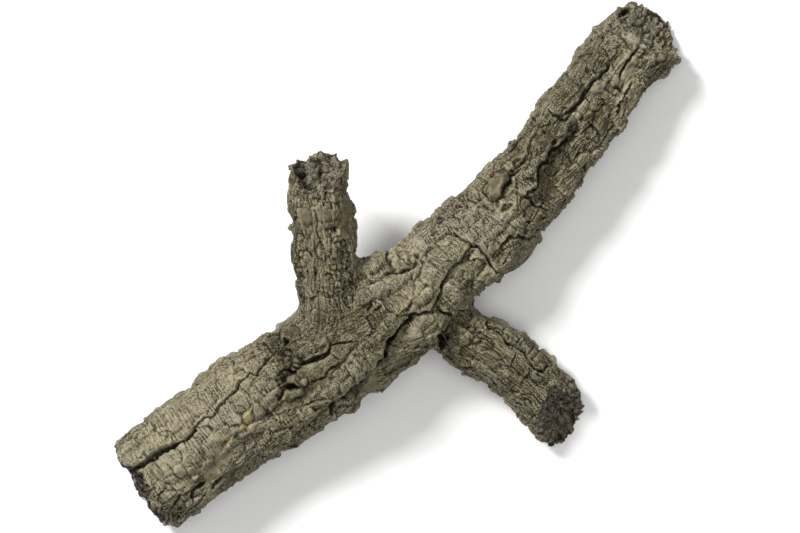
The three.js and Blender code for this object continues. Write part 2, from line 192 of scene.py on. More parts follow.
UPRIGHT_STUB = {
    "stations": (
        (329, 352, 34, 25, 26), (329, 325, 45, 26, 26.5), (328, 300, 52, 24, 25), (327, 275, 58, 23, 23.5),
        (325.5, 250, 65, 23, 23), (325, 230, 70, 22.8, 23), (323, 210, 75, 22.4, 22.5),
        (320.5, 190, 80, 22, 22), (320, 167, 85, 21.5, 20),
    ),
    "start_cut": uncut,
    "start_dish": 0.0,
    "end_cut": lambda u, v: (-4 - 11 * v + 9 * ramp(np.abs(u), 0.35, 1)
                             - ramp(-v, 0, 0.5) * (7 * ramp(-u, 0.35, 0.6) + 6 * ramp(u, 0.45, 0.95))),
    "end_dish": 3.0,
    "start_dark": 0.0,
    "end_dark": 0.6,
    "block_size": (7, 26),
}
SIDE_STUB = {
    "stations": (
        (432, 300, 38, 20, 18), (446, 320, 36, 21, 21), (461, 331, 34, 21, 21.5),
        (474, 340, 32, 21.5, 21.5), (490, 351, 29, 22, 21.5), (504, 362, 26, 22.5, 21.5),
        (518, 375, 23, 23.5, 22), (534, 388, 21, 24, 22), (547, 400, 20, 23.5, 21.5),
        (560, 415, 19.5, 22.5, 21),
    ),
    "start_cut": uncut,
    "start_dish": 0.0,
    "end_cut": lambda u, v: (1.5 * v * v - 19.5 * v + 8 * u
                             + 8 * ramp(-u, 0.45, 0.7) * ramp(v, -0.4, 0.3)),
    "end_dish": 5.0,
    "start_dark": 0.0,
    "end_dark": 0.9,
    "block_size": (9, 15),
}
CROTCH_WEB = {
    "stations": (
        (408, 268, 44, 11, 14), (385, 271, 46, 13, 16), (365, 277, 48, 14, 18), (345, 290, 50, 14, 18),
    ),
    "start_cut": uncut,
    "start_dish": -8.0,
    "end_cut": uncut,
    "end_dish": -8.0,
}

# Forks: a heading turns anticlockwise from +X and a rise tips up from the table, in degrees. Heights, half
# widths and depths are in mm, and a seam is closed towards a core that lies deeper in the trunk.
FORKS = {
    "upright_stub": {
        "at": (318, 260), "height": 60, "heading": 90, "rise": 20, "half_width": 30, "core_depth": 28,
    },
    "side_stub": {
        "at": (456, 326), "height": 33, "heading": -41, "rise": -6, "half_width": 33, "core_depth": 22,
    },
    "upper_limb": {
        "at": (446, 263), "height": 40, "heading": 39.5, "rise": 0, "half_width": 300, "core_depth": 0,
    },
}

# Crotches, where the bark fills the corner between two limbs: (pixel x, pixel y, height in mm)
CROTCHES = ((357, 264, 46), (297, 303, 46), (443, 342, 30), (475, 303, 36))

# Furrows as (width, depth, step, routes): width and depth in mm, and how many mm higher the bark stands on
# the left of a route. Here and below a route is pixel x and y in turn.
FURROWS = (
    # lower trunk
    (5.4, 10, 3.5, (124, 473, 140, 463, 154, 456, 161, 450, 169, 446, 177, 443)),
    (2.4, 5, 2.5, (166, 447, 169, 446, 178, 443, 190, 435, 194, 430, 198, 425)),
    (1.7, 3, 2, (194, 430, 198, 425, 203, 418, 211, 417, 216, 413, 221, 406, 228, 400, 231, 394, 237, 389,
        243, 379, 248, 377, 253, 373, 257, 375, 264, 365, 270, 358, 274, 352)),
    (1.8, 2.2, 0, (167, 463, 172, 471, 183, 482), (191, 442, 199, 449, 205, 457),
        (230, 402, 235, 408, 242, 415), (241, 386, 247, 393, 253, 398, 257, 403)),
    (2.2, 2.4, 0, (223, 421, 231, 426), (262, 344, 265, 343, 270, 348)),
    (4.2, 5, 0, (193, 500, 193, 493, 198, 487, 204, 483)),
    (2.4, 3, 2, (210, 486, 217, 480, 224, 472)),
    (2.6, 3.2, 1.5, (160, 513, 170, 507, 177, 500, 179, 493, 190, 491)),
    (2.0, 2, 0, (155, 508, 157, 520, 160, 528), (252, 352, 257, 358)),
    (3.0, 2, 0, (232, 362, 237, 367)),
    (1.8, 1.8, 0, (244, 427, 247, 432)),
    # fork hollow
    (4.0, 6, 0, (299, 386, 292, 388, 285, 389)),
    (3.4, 5, 0, (285, 390, 283, 396, 279, 402)),
    (1.8, 2.4, 0, (279, 403, 275, 409, 270, 415, 264, 421)),
    (3.0, 5, 0, (284, 337, 287, 340, 285, 344), (285, 368, 290, 371, 297, 374)),
    (2.6, 4, 0, (286, 347, 289, 350, 293, 353), (286, 369, 290, 371, 298, 373)),
    (2.2, 3, 0, (292, 366, 299, 369)),
    (2.0, 3, 0, (300, 383, 305, 386, 308, 383, 309, 378)),
    (5.0, 6, 3.5, (300, 362, 306, 361, 313, 358, 320, 355, 327, 351, 329, 346)),
    (2.0, 3, 1, (328, 345, 333, 345, 338, 342, 346, 341.5, 355, 341)),
    (1.8, 2, 0, (331, 354, 339, 359)),
    (2.0, 2.4, 1.5, (313, 382, 318, 380, 326, 373, 333, 367, 338, 362)),
    (1.6, 1, 1.2, (371, 337, 360, 344, 351, 353, 342, 364, 333, 375, 329, 385)),
    (2.4, 3, 0, (318, 419, 313, 423, 306, 427, 295, 433)),
    (2.0, 2.4, 0, (317, 401, 310, 404, 305, 407, 300, 410)),
    (2.0, 2, 0, (292, 410, 287, 414)),
    # main crack and crotch
    (3.0, 6, -2.5, (471, 246, 465, 252, 461, 258, 452, 268, 449, 272, 445, 278, 441, 285, 440, 291,
        438, 299, 434, 305, 430, 311)),
    (3.4, 8, -4.5, (430, 311, 417, 313, 411, 314, 409, 319, 400, 324, 397, 333, 388, 339, 386, 348,
        384, 358, 376, 361, 373, 367, 365, 368, 361, 376, 358, 384, 350, 388, 345, 389, 341, 396,
        334, 399)),
    (5.0, 5, 0, (396, 333, 388, 342, 385, 352, 384, 359), (357, 385, 350, 390, 343, 394)),
    (1.8, 3, 0, (497, 203, 490, 202, 485, 198, 484, 190, 489, 181, 497, 174, 506, 171, 511, 175)),
    (4.0, 6, 0, (336, 401, 334, 405, 331, 410, 329, 412)),
    (4.4, 8, 4, (440, 307, 443, 310, 450, 312, 455, 314, 460, 310, 467, 309, 470, 306, 475, 301)),
    (5.0, 4.5, 2, (448, 350, 440, 347, 438, 339, 435, 334, 444, 327, 450, 320)),
    (3.6, 4, 3, (413, 354, 423, 349, 432, 345, 437, 341)),
    # upper side of the fork
    (2.4, 3.4, 0, (387, 257, 389, 263, 391, 268, 395, 272, 398, 273),
        (400, 256, 403, 261, 408, 264, 411, 266)),
    (2.8, 4, 1.5, (385, 275, 391, 271, 398, 273, 403, 269, 411, 267, 414, 262)),
    (2.4, 3, 0, (371, 282, 374, 286, 382, 282), (422, 264, 420, 272, 417, 277, 412, 280)),
    (2.0, 2, 0, (372, 272, 376, 277), (412, 274, 410, 279)),
    (2.4, 2.4, 0, (392, 290, 390, 293, 387, 296)),
    (2.6, 3.4, 0, (371, 300, 370, 306, 366, 311), (382, 304, 378, 308, 374, 311)),
    (1.6, 1.8, 0, (431, 261, 436, 267, 441, 271), (432, 242, 442, 250, 449, 257),
        (456, 280, 462, 284, 467, 286, 470, 282)),
    # shoulder
    (3.0, 5, 1.5, (453, 232, 458, 234, 463, 238, 471, 244, 480, 246, 483, 251, 487, 256, 490, 262,
        494, 266, 497, 268), (492, 254, 495, 251, 499, 247, 502, 242, 506, 239, 508, 235, 513, 236,
        519, 234, 523, 237, 527, 240, 532, 240, 537, 237, 540, 233)),
    (2.0, 2.4, 0, (493, 217, 497, 222, 500, 228), (524, 225, 527, 222, 534, 223)),
    (2.6, 4, 2, (497, 200, 502, 193, 506, 188, 511, 183, 511, 178)),
    (2.8, 4, 1, (511, 176, 516, 172, 520, 170)),
    (2.4, 2, 0, (517, 178, 517, 190, 518, 200, 518, 212)),
    (2.6, 3.5, -5, (538, 166, 537, 178, 535, 186, 531, 189, 525, 195)),
    (2.8, 3.4, 2, (525, 195, 532, 197, 535, 202, 540, 207, 545, 208)),
    (2.0, 2, 0, (530, 212, 523, 217)),
    (2.8, 3, 0, (439, 224, 445, 219), (455, 207, 460, 204), (465, 203, 468, 208)),
    (2.4, 3, 0, (467, 198, 472, 203, 478, 203)),
    (2.4, 2.4, 0, (457, 218, 461, 223)),
    # upper limb
    (1.6, 2, 0, (520, 140, 530, 132, 537, 127, 547, 121), (535, 130, 542, 127, 553, 123)),
    (2.0, 2.4, 0, (510, 151, 517, 145, 523, 138), (588, 138, 594, 142, 597, 144), (599, 99, 605, 99)),
    (2.8, 4, 0, (530, 117, 535, 120)),
    (2.0, 2, 0, (537, 104, 540, 107), (602, 100, 602, 107)),
    (2.8, 4, 1, (552, 113, 556, 117, 563, 119, 565, 117)),
    (2.6, 3.5, -5, (610, 60, 605, 70, 599, 73, 597, 78, 591, 81, 587, 87, 583, 90, 582, 95, 578, 102,
        572, 108, 566, 112)),
    (2.6, 3.5, -6, (578, 130, 570, 136, 562, 142, 557, 146, 552, 146, 548, 155, 547, 160, 541, 163,
        537, 169, 537, 178)),
    (1.8, 1.8, 0, (566, 73, 572, 82, 578, 88, 583, 94, 588, 100, 592, 104)),
    (2.4, 3.4, 0, (589, 121, 594, 126, 598, 132, 602, 137)),
    (2.4, 3, 0, (586, 160, 584, 167, 583, 172), (593, 154, 594, 159), (608, 119, 612, 115)),
    (2.2, 2.4, 0, (565, 153, 570, 157, 572, 162), (559, 170, 556, 175, 553, 177)),
    (2.4, 3, 1, (597, 150, 604, 143, 611, 137, 617, 135)),
    # upper end
    (3.0, 6, 0, (642, 49, 637, 50, 633, 54, 628, 60, 625, 67, 622, 73, 621, 80)),
    (3.0, 5, 0, (636, 83, 632, 87, 627, 91, 623, 96, 622, 100, 620, 104, 619, 109, 616, 115)),
    (2.4, 4, 0, (613, 87, 618, 87, 622, 91, 624, 93)),
    (2.4, 3, 0, (622, 39, 626, 45, 630, 50), (650, 47, 655, 42)),
    (2.0, 2.4, 0, (613, 29, 620, 27), (622, 22, 626, 19), (652, 69, 660, 62, 667, 58),
        (648, 83, 657, 73, 667, 65)),
    (2.0, 2, 0, (602, 47, 607, 53, 609, 58), (580, 57, 587, 56, 592, 52)),
    (1.7, 2, 0, (636, 34, 652, 10), (641, 40, 658, 12), (646, 43, 663, 17), (652, 44, 667, 22),
        (658, 44, 670, 27), (664, 45, 673, 34)),
    # upright stub
    (1.8, 2, 0, (324, 203, 325, 208), (332, 202, 331, 209), (335, 215, 334, 225, 336, 237),
        (296, 211, 298, 217), (300, 222, 301, 236), (344, 237, 344, 247), (301, 252, 306, 252),
        (296, 278, 304, 278)),
    (2.0, 2.2, 0, (315, 208, 316, 222, 317, 232, 319, 240, 319, 245),
        (320, 294, 326, 296, 333, 297, 339, 296)),
    (2.0, 2.4, 0, (308, 250, 312, 255, 313, 258), (342, 252, 346, 258, 351, 264),
        (346, 277, 350, 283, 355, 289), (356, 285, 356, 294), (353, 296, 352, 305),
        (314, 266, 317, 270, 316, 280), (306, 289, 311, 295)),
    (2.2, 2.6, 0, (344, 281, 344, 300, 347, 307, 350, 309)),
    # side stub
    (3.0, 5, -2, (485, 322, 484, 326, 491, 331, 500, 338, 511, 347, 518, 351, 524, 356, 530, 366, 535, 371,
        543, 371, 548, 368, 551, 366)),
    (1.8, 2, 0, (500, 337, 505, 331), (515, 346, 520, 339), (528, 355, 533, 348)),
    (2.2, 3, 1, (465, 365, 476, 369, 484, 372, 493, 377, 497, 384, 507, 391)),
    (2.0, 2.4, 0, (511, 398, 518, 401, 524, 408), (531, 394, 537, 399, 540, 403)),
)

# Lumps and pits as (pixel x, pixel y, half length, half width, turn, height): half sizes in pixels, the turn
# anticlockwise in degrees, and the height in mm, below zero for a pit
MOUNDS = (
    (176, 513, 9, 6, 20, -5.5), (242, 373, 5, 5, 0, -2.5), (291, 387, 7, 3, 0, -5),
    (286, 340, 3.5, 3.5, 0, -4), (296, 363, 5, 5, 0, 5), (304, 382, 5, 4, 0, 4.5),
    (291, 380, 6, 6, 0, 4.5), (296, 393, 10, 6, 10, 4), (349, 402, 10, 9, 40, 4),
    (443, 338, 9, 7, 40, -3.5), (427, 328, 22, 15, 35, 4), (453, 294, 14, 13, 0, 3.5),
    (380, 263, 10, 11, 20, 5), (396, 261, 5.5, 10, 10, 4.5), (406, 261, 4, 6, 0, 3.5),
    (417, 256, 3, 3, 0, -3.5), (422, 262, 3, 3, 0, -3), (440, 222, 4, 3, 40, -4), (434, 233, 3, 3, 0, -3),
    (507, 207, 6, 4, 40, -4.5), (499, 204, 3, 3, 0, -3), (498, 188, 15, 9, 45, 6),
    (519, 165, 6, 4, 30, -5), (466, 217, 2.5, 2.5, 0, -2), (485, 208, 2.5, 2.5, 0, -2),
    (493, 212, 2.5, 2.5, 0, -2), (478, 174, 6, 5, 45, 2.5), (575, 127, 7, 8, 0, -5),
    (545, 133, 3, 2.5, 0, -3), (554, 142, 4, 3, 40, -3.5), (604, 66, 7, 7, 0, -3), (625, 12, 7, 4, 40, -8),
    (644, 35, 5, 6, 0, -3), (632, 40, 8, 6, -40, 3), (655, 56, 9, 6, 30, 2.5), (598, 84, 12, 8, 35, 4),
    (586, 108, 13, 9, 35, 4), (302, 297, 8, 13, 0, -1.8), (302, 179, 10, 12, 0, -8),
    (313, 186, 5, 5, 0, -5), (320, 172, 2.5, 9, 0, -3.5), (328, 188, 5, 8, 0, -4),
    (325, 153, 14, 7, 0, 2.5), (330, 158, 6, 4, 0, -3.5), (332, 176, 5, 7, 0, 2.5),
    (538, 376, 6, 5, 0, 2.5), (503, 378, 7, 11, 0, 2), (561, 401, 4, 4, 0, -3), (570, 411, 5, 4, 0, -3.5),
    (567, 426, 5, 4, 0, -3.5), (573, 431, 3.5, 3, 0, -3), (329, 171, 2.5, 2.5, 0, -2.5),
)

# Long ridges and valleys as (half width in pixels, rise in mm, route)
SWELLS = (
    (18, 3.0, (135, 447, 160, 430, 190, 412, 230, 380, 258, 352)),
    (14, 2.5, (148, 483, 185, 457, 215, 432, 245, 404, 268, 380)),
    (9, 2.0, (190, 503, 215, 480, 245, 458, 280, 432, 312, 416)),
    (7, -2.5, (196, 490, 202, 482, 211, 471, 218, 462, 232, 450, 250, 440, 270, 428)),
    (9, -4.0, (281, 345, 289, 365, 290, 385, 280, 403, 266, 420)),
    (7, -2.5, (345, 355, 338, 364, 327, 373, 313, 388, 306, 396, 297, 403, 286, 409)),
    (10, 3.5, (372, 345, 357, 366, 340, 384, 322, 398, 300, 415)),
    (12, 4.0, (462, 243, 443, 260, 430, 288, 408, 308, 390, 326, 375, 340)),
    (10, -2.0, (432, 250, 408, 278, 385, 300, 362, 322, 345, 338)),
    (7, 3.0, (412, 262, 395, 282, 375, 293)),
    (9, -3.0, (372, 372, 382, 366, 395, 343)),
    (13, 4.5, (600, 52, 583, 78, 560, 104, 545, 124, 530, 150, 520, 172, 505, 190)),
    (12, -3.5, (617, 85, 600, 104, 588, 122, 572, 145, 556, 165, 547, 190, 536, 215)),
    (8, 2.0, (655, 88, 630, 114, 606, 140, 592, 162, 577, 190, 560, 215)),
    (9, -2.5, (626, 92, 630, 75, 636, 62)),
    (9, 3.0, (522, 245, 508, 262, 490, 278)),
)

# Smooth places as (half width in pixels, route): the bark's grain is worn or hidden by a thin skin there
SMOOTH_PLACES = (
    (5, (295, 363, 297, 364)),
    (5, (290, 380, 292, 381)),
    (5, (303, 382, 305, 382)),
    (7, (306, 372, 322, 368, 336, 358)),
    (6, (290, 395, 302, 392)),
    (7, (202, 482, 211, 471, 218, 462, 229, 451)),
    (6, (345, 355, 338, 364, 327, 373, 320, 381, 313, 388, 306, 396, 297, 403, 288, 407)),
    (8, (373, 372, 372, 388)),
    (8, (403, 330, 408, 337)),
    (8, (632, 60, 630, 75, 636, 88)),
    (7, (545, 165, 543, 180, 548, 190)),
    (10, (490, 194, 506, 181)),
    (7, (346, 203, 346, 233)),
    (8, (305, 215, 322, 215)),
    (6, (320, 297, 320, 318)),
)

# Crumbly places as (half width in pixels, route)
CRUMBLY_PLACES = (
    (6, (284, 345, 288, 365, 288, 388, 282, 402)),
    (8, (436, 222, 455, 208, 470, 198, 487, 205)),
    (5, (334, 402, 334, 414)),
    (8, (470, 318, 480, 332, 474, 345)),
    (6, (291, 190, 303, 197, 320, 198, 332, 192)),
    (6, (316, 156, 337, 158)),
    (7, (608, 30, 625, 45, 640, 55, 657, 60)),
    (8, (575, 118, 572, 135)),
    (9, (334, 232, 344, 250, 333, 272, 343, 292)),
    (6, (300, 238, 303, 270)),
)

# Places whose fibres run round the limb, as (half width in pixels, route)
CROSSWISE_PLACES = (
    (38, (395, 310, 430, 280, 470, 245, 520, 200)),
    (44, (130, 480, 200, 435, 270, 385)),
    (12, (371, 345, 345, 375, 325, 395)),
    (14, (372, 265, 400, 262)),
)


# Lighter and darker bark as (half width in pixels, share from -1 to 1, route). Some of them are painted
# shade in hollows, in cracks and down a shaded side, and one is painted light on plates beside the main
# crack
TONES_AND_PAINTED_SHADING = (
    (40, 0.68, (150, 470, 200, 435, 255, 395)),
    (30, 0.52, (425, 275, 470, 240, 505, 212)),
    (20, 0.55, (622, 75, 632, 55, 655, 22)),
    (10, 0.45, (571, 112, 590, 98, 612, 78)),
    (8, 0.50, (598, 84, 586, 108)),
    (30, -0.35, (290, 365, 330, 345, 370, 320)),
    (24, -0.25, (520, 160, 560, 120, 600, 60)),
    # painted shade in the fork hollow
    (13, -0.60, (283, 345, 290, 368, 292, 390, 278, 410)),
    # painted shade in the valley beside the upper limb's step
    (11, -0.45, (600, 104, 588, 122, 572, 145, 553, 168, 545, 190, 534, 215)),
    (18, -0.20, (470, 345, 505, 372, 545, 405)),
    # painted shade down the upright stub's left side
    (6, -0.70, (291, 205, 294, 250, 297, 300)),
    (7, -0.40, (436, 222, 455, 208, 470, 198)),
    # painted shade in the crotch pocket
    (10, -0.90, (443, 338, 448, 330)),
    # painted shade in the hollows of the upright stub's end, these four
    (8, -0.75, (298, 174, 300, 188)),
    (5, -1.00, (312, 181, 314, 190)),
    (4, -0.80, (320, 165, 319, 177)),
    (6, -0.50, (326, 160, 336, 158)),
    # painted shade under the overhang of the main crack
    (2.5, -0.80, (412, 320, 400, 332, 390, 347, 387, 360, 368, 372, 362, 386, 346, 394)),
    # painted light on the plates beside the main crack
    (11, 0.30, (418, 330, 404, 345, 390, 365, 372, 384)),
    (9, -0.75, (491, 194, 505, 181)),
    (7, -0.45, (202, 482, 218, 462, 229, 451)),
    (5, -0.35, (286, 372, 285, 388, 298, 398)),
    (12, -0.30, (300, 330, 330, 325)),
    (9, 0.40, (378, 262, 400, 256, 415, 245)),
    (8, 0.35, (453, 292, 458, 286)),
    (8, 0.35, (395, 285, 378, 292)),
    (10, -0.30, (520, 150, 545, 125, 575, 90, 595, 60)),
    (5, 0.60, (576, 117, 574, 124)),
)

# Yellow lichen as (half width in pixels, route)
LICHEN_PLACES = (
    (4.2, (248, 415, 248, 421)),
    (3.2, (243, 427, 245, 429)),
    (3.2, (224, 438, 231, 438)),
)


# Noise
def lattice(cell, seed):
    """A repeatable random number from 0 to 1 for each whole-number place."""
    mixed = seed * 2654435761
    for column, prime in zip(cell.T, (73856093, 19349663, 83492791)):
        mixed = mixed ^ (column * prime)
    mixed = ((mixed ^ (mixed >> 13)) & 0x7FFFFFFF) * 1274126177 & 0x7FFFFFFF
    mixed = mixed ^ (mixed >> 15)
    return (mixed & 0xFFFF) / 65535.0


def noise(points, size, seed):
    """Smooth random values from -1 to 1 that change over about the size."""
    places = points / size
    cell = np.floor(places).astype(np.int64)
    part = places - cell
    part = part * part * part * (part * (part * 6 - 15) + 10)
    total = np.zeros(len(points))
    for corner in itertools.product((0, 1), repeat=points.shape[1]):
        weight = np.ones(len(points))
        for axis, far in enumerate(corner):
            weight *= part[:, axis] if far else 1 - part[:, axis]
        total += weight * lattice(cell + corner, seed)
    return 2 * total - 1


def wave_noise(points):
    """Smooth values from -1 to 1 over whole-number places, each drawn from a sine."""
    cell = np.floor(points)
    part = points - cell
    part = part * part * (3 - 2 * part)
    total = np.zeros(len(points))
    for corner in itertools.product((0, 1), repeat=3):
        weight = np.prod(np.where(corner, part, 1 - part), axis=1)
        value = 43758.5453 * np.sin((cell + corner) @ (127.1, 311.7, 74.7))
        total += weight * (2 * (value - np.floor(value)) - 1)
    return total


def layered_noise(points, size, layers, seed):
    """Noise with finer and weaker layers added, each half the size of the last."""
    total = np.zeros(len(points))
    for layer in range(layers):
        total += noise(points, size / 2 ** layer, seed + layer) / 2 ** layer
    return total


def drift(points, size, seeds):
    """Noise in several directions, one for each seed, as a row for each point."""
    return np.stack([noise(points, size, seed) for seed in seeds], axis=1)


def cells(points, seed):
    """How far each point is inside its random block, from 0 on the border, the block's own number, and the
    height of its leaning top."""
    axes = points.shape[1]
    home = np.floor(points).astype(np.int64)
    first = np.full(len(points), np.inf)
    second = np.full(len(points), np.inf)
    pick = np.zeros(len(points))
    place = np.zeros(points.shape)
    for step in itertools.product((-1, 0, 1), repeat=axes):
        cell = home + step
        inside = np.stack([lattice(cell, seed + axis) for axis in range(axes)], axis=1)
        centre = cell + BLOCK_MARGIN + (1 - 2 * BLOCK_MARGIN) * inside
        gap = (np.abs(points - centre) ** BLOCKINESS).sum(axis=1) ** (1 / BLOCKINESS)
        closer = gap < first
        second = np.where(closer, first, np.minimum(second, gap))
        first = np.where(closer, gap, first)
        pick = np.where(closer, lattice(cell, seed + axes), pick)
        place = np.where(closer[:, None], points - centre, place)
    lean = np.cos(2 * math.pi * np.outer(pick, LEANS[:axes]))
    return second - first, pick, (lean * place).sum(axis=1)


def ramp(value, low, high):
    """0 below low, 1 above high, and a smooth rise between."""
    part = np.clip((value - low) / (high - low), 0, 1)
    return part * part * (3 - 2 * part)


# Places
def plan(pixel_x, pixel_y):
    """The place on the table, in mm, that is seen at a pixel."""
    return (pixel_x - OUTLINE_MIDDLE[0]) * MM_PER_PIXEL, (OUTLINE_MIDDLE[1] - pixel_y) * MM_PER_PIXEL


def seen_pixels(points):
    """The pixels where the camera above sees points given in mm."""
    nearer = (CAMERA_HEIGHT - HALF_HEIGHT) / (CAMERA_HEIGHT - points[:, 2]) / MM_PER_PIXEL
    x = FRAME_MIDDLE[0] + (points[:, 0] - CAMERA_X) * nearer
    y = FRAME_MIDDLE[1] - (points[:, 1] - CAMERA_Y) * nearer
    return np.stack([x, y], axis=1)


def smooth_curve(controls, count):
    """A smooth curve through the control rows, at evenly spaced parameters."""
    controls = np.asarray(controls, float)
    padded = np.vstack([2 * controls[0] - controls[1], controls, 2 * controls[-1] - controls[-2]])
    t = np.linspace(0, len(controls) - 1, count)
    i = np.minimum(t.astype(int), len(controls) - 2)
    f = (t - i)[:, None]
    a, b, c, d = (padded[i + n] for n in range(4))
    return 0.5 * (2 * b + (c - a) * f + (2 * a - 5 * b + 4 * c - d) * f ** 2
                  + (3 * b - a - 3 * c + d) * f ** 3)


def grow(limb):
    """Adds the limb's centre line, directions and half sizes at close steps."""
    rows = [(*plan(x, y), z, width, height) for x, y, z, width, height in limb["stations"]]
    curve = smooth_curve(rows, CURVE_STEPS * len(rows))
    centre = curve[:, :3]
    along = np.gradient(centre, axis=0)
    along /= np.linalg.norm(along, axis=1)[:, None]
    side = np.cross(along, (0, 0, 1))
    side /= np.linalg.norm(side, axis=1)[:, None]
    steps = np.linalg.norm(np.diff(centre, axis=0), axis=1)
    distance = np.concatenate([[0], np.cumsum(steps)])
    return {**limb, "centre": centre, "along": along, "side": side, "up": np.cross(side, along),
            "size": curve[:, 3:], "distance": distance, "length": distance[-1]}


def section(limb, distance):
    """Centre, directions and half sizes at distances along a limb, which runs straight on past its ends."""
    inside = np.clip(distance, 0, limb["length"])
    pick = {}
    for name in ("centre", "along", "side", "up", "size"):
        columns = [np.interp(inside, limb["distance"], column) for column in limb[name].T]
        pick[name] = np.stack(columns, axis=1)
    pick["centre"] = pick["centre"] + pick["along"] * (distance - inside)[:, None]
    return pick


# Base form
def limb_mesh(limb):
    """Rings and end faces of one limb as points and four-sided faces."""
    length = limb["length"]
    sides = int(2 * math.pi * limb["size"].max() / LATHE_STEP)
    rings = int(length / LATHE_STEP)
    inner = np.linspace(END_MIDDLE, 1, END_RINGS + 1)
    reach = np.concatenate([inner[:-1], np.ones(rings + 1), inner[-2::-1]])
    lengthways = np.linspace(0, length, rings + 1)
    place = np.concatenate([np.zeros(END_RINGS), lengthways, np.full(END_RINGS, length)])
    angle = 2 * math.pi * np.arange(sides) / sides
    u = (reach[:, None] * np.cos(angle)).ravel()
    v = (reach[:, None] * np.sin(angle)).ravel()
    distance = np.repeat(place, sides)
    dish = 1 - u * u - v * v
    near_end = ramp(distance, length - END_REACH, length)
    near_start = 1 - ramp(distance, 0, END_REACH)
    shift = near_end * (limb["end_cut"](u, v) - limb["end_dish"] * dish)
    shift -= near_start * (limb["start_cut"](u, v) - limb["start_dish"] * dish)
    ragged = noise(np.stack([u * RAGGED_REACH, v * RAGGED_REACH, distance], axis=1), RAGGED_SIZE, seed=7)
    shift += RAGGED_DEPTH * ragged * ramp(np.hypot(u, v), 0.5, 0.9) * (near_end - near_start)
    at = section(limb, distance + shift)
    across = at["side"] * (u * at["size"][:, 0])[:, None]
    upward = at["up"] * (v * at["size"][:, 1])[:, None]
    faces = []
    last = (len(reach) - 1) * sides
    for ring in range(0, last, sides):
        for i in range(sides):
            j = (i + 1) % sides
            faces.append((ring + i, ring + j, ring + sides + j, ring + sides + i))
    faces.append(tuple(range(sides))[::-1])
    faces.append(tuple(range(last, last + sides)))
    return at["centre"] + across + upward, faces


def apply_modifiers(piece):
    """Replaces the piece's mesh by what its modifiers make of it."""
    graph = bpy.context.evaluated_depsgraph_get()
    mesh = bpy.data.meshes.new_from_object(piece.evaluated_get(graph))
    piece.modifiers.clear()
    piece.data = mesh


def join_limbs(limbs):
    """One even mesh over all limbs, in mm."""
    all_points = []
    all_faces = []
    for limb in limbs:
        points, faces = limb_mesh(limb)
        first = sum(len(p) for p in all_points)
        all_points.append(points)
        all_faces += [tuple(first + i for i in face) for face in faces]
    mesh = bpy.data.meshes.new("branch")
    mesh.from_pydata(np.vstack(all_points).tolist(), [], all_faces)
    piece = bpy.data.objects.new("branch", mesh)
    bpy.context.scene.collection.objects.link(piece)
    remesh = piece.modifiers.new("remesh", "REMESH")
    remesh.mode = "VOXEL"
    remesh.voxel_size = VOXEL
    apply_modifiers(piece)
    ease(piece.data)
    piece.data = refine(piece.data)
    return piece


def mesh_points(mesh):
    points = np.empty(len(mesh.vertices) * 3)
    mesh.vertices.foreach_get("co", points)
    return points.reshape(-1, 3)


def mesh_normals(mesh):
    normals = np.empty(len(mesh.vertices) * 3)
    mesh.vertex_normals.foreach_get("vector", normals)
    return normals.reshape(-1, 3)


def mesh_edges(mesh):
    edges = np.empty(len(mesh.edges) * 2, np.int64)
    mesh.edges.foreach_get("vertices", edges)
    return edges.reshape(-1, 2)


def face_corners(mesh):
    """For every corner of every face its point, the face's next point, and the face's number."""
    corners = np.empty(len(mesh.loops), np.int64)
    mesh.loops.foreach_get("vertex_index", corners)
    starts = np.empty(len(mesh.polygons), np.int64)
    mesh.polygons.foreach_get("loop_start", starts)
    ends = np.append(starts[1:], len(corners)) - 1
    following = np.arange(1, len(corners) + 1)
    following[ends] = starts
    return corners, corners[following], np.repeat(np.arange(len(starts)), ends + 1 - starts)


def refine(mesh):
    """The same mesh with each face that isn't on the underside split in four."""
    points = mesh_points(mesh)
    corners, following, _ = face_corners(mesh)
    faces = corners.reshape(-1, 4)
    ends = np.sort(np.stack([corners, following], axis=1), axis=1)
    edges, side = np.unique(ends[:, 0] * len(points) + ends[:, 1], return_inverse=True)
    fine = mesh_normals(mesh)[faces, 2].mean(axis=1) > UNDERSIDE
    split = np.zeros(len(edges), bool)
    split[side[np.repeat(fine, 4)]] = True
    middle = np.where(split, len(points) + np.cumsum(split) - 1, -1)[side].reshape(-1, 4)
    centre = len(points) + split.sum() + np.arange(fine.sum())
    middles = 0.5 * (points[edges[split] // len(points)] + points[edges[split] % len(points)])
    points = np.vstack([points, middles, points[faces[fine]].mean(axis=1)])
    polygons = []
    for i in range(4):
        quarter = (faces[fine, i], middle[fine, i], centre, middle[fine, i - 1])
        polygons += np.stack(quarter, axis=1).tolist()
    for face, middles in zip(faces[~fine].tolist(), middle[~fine].tolist()):
        polygons.append([point for pair in zip(face, middles) for point in pair if point >= 0])
    finer = bpy.data.meshes.new("finer")
    finer.from_pydata(points.tolist(), [], polygons)
    return finer


def blur(values, edges, rounds):
    """Values evened out over neighbouring points."""
    count = np.bincount(edges.ravel(), minlength=len(values))
    for _ in range(rounds):
        total = np.bincount(edges[:, 0], values[edges[:, 1]], len(values))
        total += np.bincount(edges[:, 1], values[edges[:, 0]], len(values))
        values = 0.5 * values + 0.5 * total / count
    return values


def ease(mesh):
    """Evens out the mesh a little everywhere and a lot in the crotches."""
    points = mesh_points(mesh)
    edges = mesh_edges(mesh)
    share = np.zeros(len(points))
    for x, y, z in CROTCHES:
        gap = np.linalg.norm(points - (*plan(x, y), z), axis=1)
        share = np.maximum(share, 1 - ramp(gap, 0.3 * CROTCH_REACH, CROTCH_REACH))
    points = np.stack([blur(column, edges, SMOOTH_ROUNDS) for column in points.T], axis=1)
    for _ in range(CROTCH_ROUNDS):
        even = np.stack([blur(column, edges, 1) for column in points.T], axis=1)
        points += share[:, None] * (even - points)
    mesh.vertices.foreach_set("co", points.ravel())
    mesh.update()


